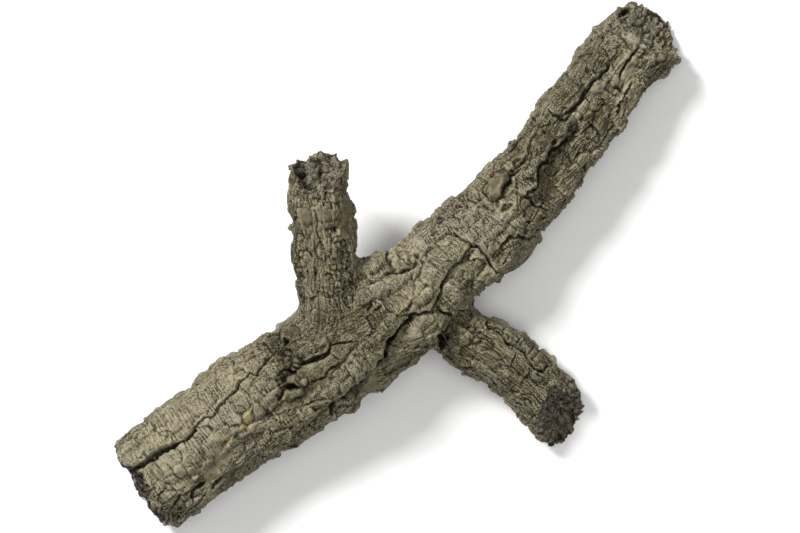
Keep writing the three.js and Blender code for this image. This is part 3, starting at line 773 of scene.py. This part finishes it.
# Traced relief
def near_route(pixels, route, margin):
    """The points within a margin of a route's own box, with their distances to it in pixels, which side of
    it is left, and how far along it they are from 0 to 1."""
    route = np.reshape(route, (-1, 2)).astype(float)
    inside = (pixels > route.min(axis=0) - margin) & (pixels < route.max(axis=0) + margin)
    near = np.nonzero(inside.all(axis=1))[0]
    pixels = pixels[near]
    lengths = np.linalg.norm(np.diff(route, axis=0), axis=1)
    starts = np.concatenate([[0], np.cumsum(lengths)])
    best = np.full(len(pixels), np.inf)
    left = np.zeros(len(pixels))
    place = np.zeros(len(pixels))
    for i in range(len(route) - 1):
        stretch = route[i + 1] - route[i]
        offset = pixels - route[i]
        part = np.clip(offset @ stretch / lengths[i] ** 2, 0, 1)
        away = np.linalg.norm(offset - part[:, None] * stretch, axis=1)
        closer = away < best
        cross = stretch[1] * offset[:, 0] - stretch[0] * offset[:, 1]
        left = np.where(closer, np.sign(cross), left)
        place = np.where(closer, (starts[i] + part * lengths[i]) / starts[-1], place)
        best = np.where(closer, away, best)
    return near, best, left, place


def each_furrow():
    """Every furrow as (width, depth, step, route)."""
    for width, depth, step, *routes in FURROWS:
        for route in routes:
            yield width, depth, step, route


def furrow_relief(pixels, strength):
    """Height in mm of the furrows and the steps beside them, and the painted shade deep in each furrow."""
    height = np.zeros(len(pixels))
    painted_furrow_shade = np.zeros(len(pixels))
    for width, depth, step, route in each_furrow():
        near, distance, left, place = near_route(pixels, route, STEP_REACH if step else FURROW_REACH)
        distance = distance * MM_PER_PIXEL
        ends = np.sin(math.pi * np.clip(place * 0.96 + 0.02, 0, 1)) ** 0.35
        half = TRENCH_HALF * width * ends + 0.15
        off_middle = distance
        if step:
            high_side = step * left > 0
            shift = TRENCH_SHIFT * width
            off_middle = np.where(high_side, distance + shift, np.abs(distance - shift))
            high_fall = 1 - ramp(distance, 0, HIGH_FALL)
            low_fall = -LOW_SHARE * (1 - ramp(distance, 0, LOW_FALL))
            fall = np.where(high_side, high_fall, low_fall) * ramp(distance, -0.8, 0.8)
            height[near] += abs(step) * ends * fall
        trench = (1 - ramp(off_middle, 0.3 * half, 1.15 * half)) * strength[near]
        height[near] -= ends * depth * (trench + DIP_SHARE * np.exp(-distance / DIP_REACH))
        # Painted shade: bark deep in a trench is painted darker, fully so from the full painted shade depth
        # on
        painted_furrow_shade[near] = np.maximum(painted_furrow_shade[near], trench * min(1.0, depth / FULL_PAINTED_SHADE_DEPTH))
    return height, painted_furrow_shade


def mound_relief(pixels):
    """Height in mm that the lumps and pits add."""
    height = np.zeros(len(pixels))
    for x, y, half_length, half_width, turn, rise in MOUNDS:
        angle = math.radians(turn)
        offset = pixels - (x, y)
        long_way = offset[:, 0] * math.cos(angle) - offset[:, 1] * math.sin(angle)
        cross_way = offset[:, 0] * math.sin(angle) + offset[:, 1] * math.cos(angle)
        away = np.hypot(long_way / half_length, cross_way / half_width)
        height += rise * (1 - ramp(away, 0.5, 1.2))
    return height


def swell_relief(pixels):
    """Height in mm that the long ridges and valleys add."""
    height = np.zeros(len(pixels))
    for half_width, rise, route in SWELLS:
        near, distance, _, place = near_route(pixels, route, 2 * half_width)
        ends = ramp(place, -0.05, 0.12) * ramp(1 - place, -0.05, 0.12)
        height[near] += rise * ends * (1 - ramp(distance, 0.2 * half_width, 1.4 * half_width))
    return height


def places_share(pixels, places):
    """How much each point belongs to the places, from 0 to 1."""
    share = np.zeros(len(pixels))
    for half_width, route in places:
        near, distance, _, _ = near_route(pixels, route, 2 * half_width)
        share[near] = np.maximum(share[near], 1 - ramp(distance, 0.5 * half_width, 1.2 * half_width))
    return share


def places_tone_and_shading(pixels):
    """How much lighter or darker the bark is, about from -1 to 1, painted shade and painted light included.
    """
    tone_and_painted_shading = np.zeros(len(pixels))
    for half_width, amount, route in TONES_AND_PAINTED_SHADING:
        near, distance, _, _ = near_route(pixels, route, 2 * half_width)
        tone_and_painted_shading[near] += amount * (1 - ramp(distance, 0.4 * half_width, 1.5 * half_width))
    return tone_and_painted_shading


# Bark relief
def block_relief(places, layer, crack=1, step=1, lean=1):
    """Height in mm of a layer of blocks, and each block's own number. The last three say how much of the
    layer's cracks, steps and leans is left."""
    border, block, slope = cells(places, layer["seed"])
    height = -layer["crack"] * crack * (1 - ramp(border, EDGE_START, layer["edge"]))
    height += layer["step"] * step * (block - 0.5)
    height += layer["lean"] * lean * slope
    return height, block


def rib_phase(straight, way, size, seed, block):
    """How many ribs lie before each point, on the way across them. They wander, and blocks shift them."""
    phase = way / RIB_SPACING + 0.7 * noise(straight, size, seed) + 0.15 * noise(straight, 5, seed + 1)
    return phase + 1.7 * block


def rib_height(phase):
    """1 on a rib and 0 in the line beside it."""
    return np.minimum(1, 4 * np.abs(phase - np.floor(phase) - 0.5))


def bark_relief(straight, flat, crosswise, seen, block_size):
    """A limb's slabs and blocks, fibres, and crumbs in mm, how light its blocks are, the ribs' two phases,
    and how ribbed it is. Straight holds its points as if it ran along the last axis, flat holds them
    unrolled, and crosswise says how far the ribs run round it."""
    wander = drift(straight, size=16, seeds=(50, 51, 52))
    slabs, slab = block_relief((straight + 3.0 * wander) / SLABS["size"], SLABS,
                               crack=1 - 0.8 * seen, step=1 - 0.4 * seen, lean=1 - 0.3 * seen)
    bent = drift(straight, size=9, seeds=(60, 62)) + 0.7 * drift(straight, size=3.5, seeds=(61, 63))
    open_cracks = ramp(noise(straight, size=13, seed=64), -0.3, 0.6)
    blocks, block = block_relief((flat + bent) / block_size, BLOCKS, crack=open_cracks)
    across = rib_phase(straight, flat[:, 1], size=14, seed=31, block=block)
    along = rib_phase(straight, flat[:, 0], size=16, seed=34, block=block)
    ribs = crosswise * rib_height(across) + (1 - crosswise) * rib_height(along)
    ribbed = ramp(noise(straight, size=18, seed=33), -0.6, 0.1)
    fibres = RIB_HEIGHT * ribbed * (ribs - 0.75)
    fibres += FIBRE_HEIGHT * layered_noise(straight, size=4, layers=2, seed=41)
    crumbs, _ = block_relief(straight / CRUMBS["size"] + 0.25 * wander, CRUMBS)
    return slabs + blocks, fibres, crumbs, slab + block - 1, across, along, ribbed


def to_straight(points, limb, centre_step=6, points_at_once=8000):
    """Points as if the limb ran straight along the last axis, the same unrolled, how far out they are, and
    the height of the plates there."""
    sparse = slice(None, None, centre_step)
    centres = limb["centre"][sparse]
    nearest = np.empty(len(points), np.int64)
    for start in range(0, len(points), points_at_once):
        some = slice(start, start + points_at_once)
        nearest[some] = ((points[some, None, :] - centres[None, :, :]) ** 2).sum(axis=2).argmin(axis=1)
    offset = points - centres[nearest]
    forward = (offset * limb["along"][sparse][nearest]).sum(axis=1)
    distance = limb["distance"][sparse][nearest] + forward
    across = (offset * limb["side"][sparse][nearest]).sum(axis=1)
    up = (offset * limb["up"][sparse][nearest]).sum(axis=1)
    size = limb["size"][sparse][nearest]
    reach = np.hypot(across / size[:, 0], up / size[:, 1])
    round_way = np.arctan2(across, up) * limb["size"].mean()
    girth = size[:, 0] / PLATE_WIDTH / np.maximum(reach, 0.1)
    ring = [girth * across / size[:, 0], girth * up / size[:, 1], distance / PLATE_LENGTH]
    plates = PLATE_FLOOR + PLATE_RISE * np.minimum(np.abs(wave_noise(np.stack(ring, axis=1))), PLATE_TOP)
    return np.stack([across, up, distance], axis=1), np.stack([round_way, distance], axis=1), reach, plates


def all_bark(limbs, straights, flats, weights, crosswise, seen):
    """The bark of all limbs. Its first four parts are mixed where limbs meet, and the ribs are the nearest
    limb's own. Each limb has its own stretch of the noise."""
    nearest = weights.argmax(axis=0)
    mixed = np.zeros((4, len(seen)))
    ribs = np.zeros((3, len(seen)))
    for number, limb in enumerate(limbs):
        used = np.nonzero(weights[number] > LEAST_WEIGHT)[0]
        own = straights[number][used] + (NOISE_STRETCH * number, 0, 0)
        made = bark_relief(own, flats[number][used], crosswise[used], seen[used], limb["block_size"])
        mixed[:, used] += weights[number][used] * np.stack(made[:4])
        ribs[:, used] = np.where(nearest[used] == number, made[4:], ribs[:, used])
    return (*mixed, *ribs)


def broken_ends(normals, limbs, straights, nearest):
    """How far each point lies on a broken end face, from 0 to 1, and how dark it is there."""
    broken = np.zeros(len(normals))
    darkness = np.zeros(len(normals))
    for number, limb in enumerate(limbs):
        distance = straights[number][:, 2]
        at_start = (nearest == number) & (distance < START_FACE)
        at_end = (nearest == number) & (distance > limb["length"] - END_FACE)
        at_start = at_start * ramp(-normals @ limb["along"][0], *FACING)
        at_end = at_end * ramp(normals @ limb["along"][-1], *FACING)
        broken = np.maximum(broken, np.maximum(at_start, at_end))
        dark = np.maximum(at_start * limb["start_dark"], at_end * limb["end_dark"])
        darkness = np.maximum(darkness, dark)
    return broken, darkness


def branch_relief(points, normals, limbs):
    """How high in mm the bark and its traced places stand over the base form, and the shares for colour."""
    pixels = seen_pixels(points)
    seen = ramp(normals[:, 2], 0.02, 0.3)
    straights, flats, reaches, plates = zip(*(to_straight(points, limb) for limb in limbs))
    weights = np.exp(-MEETING_SHARPNESS * np.stack(reaches))
    weights /= weights.sum(axis=0)
    crosswise = 0.7 * noise(points, size=45, seed=75) + 1.2 * places_share(pixels, CROSSWISE_PLACES) - 0.6
    crosswise = ramp(crosswise, -0.15, 0.15)
    bark = all_bark(limbs, straights, flats, weights, crosswise, seen)
    broad, fibres, crumbs, shade, across, along, ribbed = bark
    wander = 1.5 * drift(points, size=5, seeds=(70, 71)) + 0.9 * drift(points, size=2.2, seeds=(72, 73))
    furrows, painted_furrow_shade = furrow_relief(pixels + wander, 0.8 + 0.35 * noise(points, size=8, seed=74))
    mounds = mound_relief(pixels + 0.8 * wander)
    swells = swell_relief(pixels + 1.2 * wander)
    traced = seen * (furrows + mounds + swells)
    smooth = places_share(pixels + wander, SMOOTH_PLACES) * seen
    crumbly = places_share(pixels + 1.5 * wander, CRUMBLY_PLACES) * seen
    broken, darkness = broken_ends(normals, limbs, straights, weights.argmax(axis=0))
    crumbly = np.maximum(crumbly * (1 - smooth), 0.9 * broken)
    height = SWELLING_HEIGHT * wave_noise(points / SWELLING_SIZE) + (weights * np.stack(plates)).sum(axis=0)
    height += HUMP_HEIGHT * noise(points, size=15, seed=81)
    whole = 1 - broken
    height += broad * (1 - 0.7 * smooth) * whole + fibres * (1 - 0.8 * smooth) * whole + crumbs * crumbly
    darkness = darkness * (0.8 + 0.9 * noise(points, size=3.5, seed=76))
    # Tone: the bark's own lighter and darker places and blocks, painted shade and painted light, and black
    # on broken ends
    tone_and_painted_shading = 0.35 * places_tone_and_shading(pixels + wander) * seen + 0.10 * shade - 0.9 * np.clip(darkness - 1, 0, 0.6)
    patches = ramp(noise(points, size=13, seed=82) + 0.5 * noise(points, size=5, seed=83), -0.5, 0.5)
    return height, traced, {
        "painted_furrow_shade": painted_furrow_shade * seen,
        "tone_and_painted_shading": tone_and_painted_shading,
        "lichen": places_share(pixels + 0.5 * wander, LICHEN_PLACES) * seen,
        "broken": darkness,
        "grainy": (0.5 + 0.8 * patches) * (1 - 0.6 * smooth),
        "crosswise": crosswise,
        "across": across,
        "along": along,
        "ribbed": ribbed * ((1 - smooth) * whole * (1 - crumbly)),
    }


def carve(branch, limbs):
    """Gives the branch its bark, and returns its points before and after and the shares that colour it.
    Traced places rise halfway between the normals and straight up, so the camera sees them in place."""
    base = mesh_points(branch.data)
    normals = mesh_normals(branch.data)
    height, traced, shares = branch_relief(base, normals, limbs)
    leaning = normals + (0, 0, 1)
    leaning /= np.maximum(np.linalg.norm(leaning, axis=1), 0.1)[:, None]
    points = base + normals * height[:, None] + leaning * traced[:, None]
    points[:, 2] = np.maximum(points[:, 2], 0)
    branch.data.vertices.foreach_set("co", points.ravel())
    branch.data.update()
    height += traced
    # Painted shading: raised bark gets a painted highlight, and hollows and furrows get painted shade
    cavity = height - blur(height, mesh_edges(branch.data), CAVITY_ROUNDS)
    level = LEVEL_BARK + PAINTED_SHADING_PER_MM * np.clip(cavity, *PAINTED_SHADING_HEIGHTS) - FURROW_PAINTED_SHADE * shares.pop("painted_furrow_shade")
    shares["level"] = np.clip(level, 0, 1)
    shares["olive"] = 0.45 + 0.2 * layered_noise(base, size=22, layers=3, seed=90)
    return base, points, shares


# Pieces
def in_fork(points, fork):
    """Which points lie beyond a fork, in its piece."""
    x, y = plan(*fork["at"])
    heading = math.radians(fork["heading"])
    rise = math.radians(fork["rise"])
    offset = points - (x, y, fork["height"])
    level = offset[:, 0] * math.cos(heading) + offset[:, 1] * math.sin(heading)
    beyond = level * math.cos(rise) + offset[:, 2] * math.sin(rise)
    across = offset[:, 1] * math.cos(heading) - offset[:, 0] * math.sin(heading)
    return (beyond > 0) & (np.abs(across) < fork["half_width"])


def fork_groups(centres):
    """Which faces belong to each piece, told by their middles."""
    rest = np.ones(len(centres), bool)
    groups = {}
    for name, fork in FORKS.items():
        groups[name] = rest & in_fork(centres, fork)
        rest &= ~groups[name]
    groups["lower_trunk"] = rest
    return groups


def seam(fork, chosen, corners, points):
    """The points on the seam round a fork's piece, and the core that the seam is closed towards."""
    members = np.intersect1d(corners[chosen], corners[~chosen])
    heading = math.radians(fork["heading"])
    back = np.array([math.cos(heading), math.sin(heading), 0]) * fork["core_depth"]
    return members, points[members].mean(axis=0) - back


def open_edges(edges):
    """The edges that have a face on one side only, turned as that face has them."""
    keys = edges.min(axis=1) * (edges.max() + 1) + edges.max(axis=1)
    _, first, counts = np.unique(keys, return_index=True, return_counts=True)
    return edges[first[counts == 1]]


def make_piece(name, points, corners, following, owner, normals, shares, seams, material):
    """One closed piece of the branch, in metres. Each seam with a neighbour is closed towards its core."""
    rim = open_edges(np.stack([corners, following], axis=1))
    used, renumbered = np.unique(corners, return_inverse=True)
    faces = [face.tolist() for face in np.split(renumbered, np.nonzero(np.diff(owner))[0] + 1)]
    places = [points[used]]
    directions = [normals[used]]
    caps = []
    for members, core in seams:
        edges = rim[np.isin(rim, members).all(axis=1)]
        if len(edges) == 0:
            continue
        middle = len(used) + len(places) - 1
        caps += [(int(b), int(a), middle) for a, b in np.searchsorted(used, edges)]
        places.append(core[None, :])
        directions.append(np.array([[0.0, 0.0, 1.0]]))
    mesh = bpy.data.meshes.new(name)
    mesh.from_pydata((np.vstack(places) * MM).tolist(), [], faces + caps)
    mesh.polygons.foreach_set("use_smooth", [True] * len(mesh.polygons))
    spare = np.zeros(len(places) - 1)
    for label, values in shares.items():
        layer = mesh.attributes.new(label, "FLOAT", "POINT")
        layer.data.foreach_set("value", np.concatenate([values[used], spare]).astype(np.float32))
    mesh.update()
    mesh.normals_split_custom_set_from_vertices(np.vstack(directions).tolist())
    mesh.materials.append(material)
    piece = bpy.data.objects.new(name, mesh)
    bpy.context.scene.collection.objects.link(piece)
    return piece


def split_branch(branch, base, points, shares, material):
    """Makes the bark of each piece, which takes the place of its solid."""
    normals = mesh_normals(branch.data)
    corners, following, owner = face_corners(branch.data)
    sides = np.bincount(owner)
    centres = np.stack([np.bincount(owner, column[corners]) / sides for column in base.T], axis=1)
    groups = fork_groups(centres)
    seams = [seam(fork, groups[name][owner], corners, points) for name, fork in FORKS.items()]
    for name, chosen in groups.items():
        own = chosen[owner]
        piece = make_piece(f"{name}_bark", points, corners[own], following[own], owner[own], normals,
                           shares, seams, material)
        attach(piece, "root")
        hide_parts(name)
    bpy.data.objects.remove(branch)


# Material
class Tree:
    """Short calls that add nodes to a material and return what they put out."""

    def __init__(self, tree):
        self.nodes = tree.nodes
        self.links = tree.links
        self.place = self.nodes.new("ShaderNodeTexCoord").outputs["Object"]

    def share(self, name):
        node = self.nodes.new("ShaderNodeAttribute")
        node.attribute_name = name
        return node.outputs["Fac"]

    def work_out(self, operation, first, second=0):
        node = self.nodes.new("ShaderNodeMath")
        node.operation = operation
        for socket, value in zip(node.inputs, (first, second)):
            if isinstance(value, (int, float)):
                socket.default_value = value
            else:
                self.links.new(value, socket)
        return node.outputs[0]

    def add(self, first, second):
        return self.work_out("ADD", first, second)

    def times(self, first, second):
        return self.work_out("MULTIPLY", first, second)

    def texture(self, vector, scale, detail):
        """Noise from about -0.5 to 0.5."""
        node = self.nodes.new("ShaderNodeTexNoise")
        node.inputs["Scale"].default_value = scale
        node.inputs["Detail"].default_value = detail
        node.inputs["Roughness"].default_value = 0.6
        self.links.new(vector, node.inputs["Vector"])
        return self.add(node.outputs["Fac"], -0.5)

    def fibres(self, round_size, run_size):
        """Streaks of the given sizes in mm, round the limb and along it."""
        node = self.nodes.new("ShaderNodeCombineXYZ")
        self.links.new(self.times(self.share("along"), RIB_SPACING / round_size), node.inputs["X"])
        self.links.new(self.times(self.share("across"), RIB_SPACING / run_size), node.inputs["Y"])
        return self.texture(node.outputs["Vector"], 1.0, 2)

    def rib_lines(self, phase):
        """0 on a rib and below 0 in the line beside it."""
        part = self.work_out("FRACT", self.share(phase))
        off_middle = self.work_out("ABSOLUTE", self.add(part, -0.5))
        return self.work_out("MINIMUM", self.add(self.times(off_middle, 4), -1), 0)

    def colours(self, value, stops):
        node = self.nodes.new("ShaderNodeValToRGB")
        self.links.new(value, node.inputs["Fac"])
        while len(node.color_ramp.elements) < len(stops):
            node.color_ramp.elements.new(0.5)
        for element, (position, colour) in zip(node.color_ramp.elements, stops):
            element.position = position
            element.color = (*colour, 1)
        return node.outputs["Color"]

    def mix(self, kind, share_of_second, first, second):
        node = self.nodes.new("ShaderNodeMix")
        node.data_type = kind
        sockets = [socket for socket in node.inputs if socket.enabled]
        for socket, value in zip(sockets, (share_of_second, first, second)):
            self.links.new(value, socket)
        return next(socket for socket in node.outputs if socket.enabled)


def bark_grain(tree):
    """Streaks along the ribs, speckles, pits, and the lines between the ribs, with painted shade in them."""
    long_fibres = tree.fibres(FIBRE_WIDTH, FIBRE_LENGTH)
    round_fibres = tree.fibres(FIBRE_LENGTH, FIBRE_WIDTH)
    streaks = tree.mix("FLOAT", tree.share("crosswise"), long_fibres, round_fibres)
    speckle = tree.texture(tree.place, SPECKLE_SCALE, 2)
    # The lines between the ribs sink the bump and darken the colour as painted shade
    cross_lines = tree.add(tree.rib_lines("across"), tree.times(tree.rib_lines("along"), 0.4))
    lines = tree.mix("FLOAT", tree.share("crosswise"), tree.rib_lines("along"), cross_lines)
    lines = tree.times(lines, tree.share("ribbed"))
    pits = tree.work_out("MINIMUM", tree.add(tree.texture(tree.place, PIT_SCALE, 3), 0.10), 0)
    grain = tree.add(tree.times(streaks, STREAK_STRENGTH), tree.times(speckle, SPECKLE_STRENGTH))
    grain = tree.add(grain, tree.times(lines, RIB_LINE_DEPTH_AND_SHADE))
    grain = tree.add(grain, tree.times(pits, PIT_STRENGTH))
    return tree.times(grain, tree.share("grainy"))


def bark_colour(tree, grain):
    """Grey and olive bark in fine patches, with lichen on it and the darker cork of the broken ends."""
    level = tree.add(tree.add(tree.share("level"), grain), tree.share("tone_and_painted_shading"))
    mottle = tree.times(tree.texture(tree.place, MOTTLE_SCALE, 2), MOTTLE_STRENGTH)
    olive = tree.add(tree.share("olive"), mottle)
    bark = tree.mix("RGBA", olive, tree.colours(level, GREY_BARK), tree.colours(level, OLIVE_BARK))
    bark = tree.mix("RGBA", tree.share("lichen"), bark, tree.colours(level, LICHEN))
    return tree.mix("RGBA", tree.share("broken"), bark, tree.colours(level, BROKEN_CORK))


def bark_material():
    material = bpy.data.materials.new("cork_bark")
    material.use_nodes = True
    shader = material.node_tree.nodes["Principled BSDF"]
    shader.inputs["Roughness"].default_value = 0.92
    shader.inputs["Specular IOR Level"].default_value = 0.2
    tree = Tree(material.node_tree)
    grain = bark_grain(tree)
    tree.links.new(bark_colour(tree, grain), shader.inputs["Base Color"])
    bump = tree.nodes.new("ShaderNodeBump")
    bump.inputs["Distance"].default_value = 0.0008
    bump.inputs["Strength"].default_value = 0.6
    tree.links.new(grain, bump.inputs["Height"])
    tree.links.new(bump.outputs["Normal"], shader.inputs["Normal"])
    return material


# Stage
def add_camera():
    data = bpy.data.cameras.new("camera")
    data.sensor_width = SENSOR_WIDTH
    data.lens = SENSOR_WIDTH * (CAMERA_HEIGHT - HALF_HEIGHT) / FRAME_WIDTH
    camera = bpy.data.objects.new("camera", data)
    camera.location = (CAMERA_X * MM, CAMERA_Y * MM, CAMERA_HEIGHT * MM)
    bpy.context.scene.collection.objects.link(camera)
    bpy.context.scene.camera = camera


def add_light(name, place, size, power):
    """A square lamp that points at the middle of the floor."""
    data = bpy.data.lights.new(name, "AREA")
    data.size = size
    data.energy = power
    lamp = bpy.data.objects.new(name, data)
    lamp.location = place
    bpy.context.scene.collection.objects.link(lamp)
    aim = -np.asarray(place)
    flat = math.hypot(aim[0], aim[1])
    lamp.rotation_euler = (math.atan2(flat, -aim[2]), 0, math.atan2(aim[1], aim[0]) - math.pi / 2)


def add_floor(half=3.0):
    mesh = bpy.data.meshes.new("floor")
    corners = [(-half, -half, 0), (half, -half, 0), (half, half, 0), (-half, half, 0)]
    mesh.from_pydata(corners, [], [(0, 1, 2, 3)])
    floor = bpy.data.objects.new("floor", mesh)
    bpy.context.scene.collection.objects.link(floor)
    material = bpy.data.materials.new("floor")
    material.use_nodes = True
    shader = material.node_tree.nodes["Principled BSDF"]
    shader.inputs["Base Color"].default_value = (0.9, 0.9, 0.89, 1)
    shader.inputs["Roughness"].default_value = 0.9
    mesh.materials.append(material)


def add_world():
    world = bpy.data.worlds.new("world")
    world.use_nodes = True
    background = world.node_tree.nodes["Background"]
    background.inputs["Color"].default_value = (1, 1, 1, 1)
    background.inputs["Strength"].default_value = 0.35
    bpy.context.scene.world = world
    bpy.context.scene.view_settings.view_transform = "Standard"


def main():
    add_camera()
    add_floor()
    add_light("key", place=(-1.1, 1.0, 1.6), size=0.6, power=60)
    add_light("fill", place=(0.2, -0.2, 2.2), size=1.6, power=20)
    add_world()
    limbs = [grow(limb) for limb in (STEM, UPRIGHT_STUB, SIDE_STUB)]
    branch = join_limbs([*limbs, grow(CROTCH_WEB)])
    base, points, shares = carve(branch, limbs)
    split_branch(branch, base, points, shares, bark_material())


main()
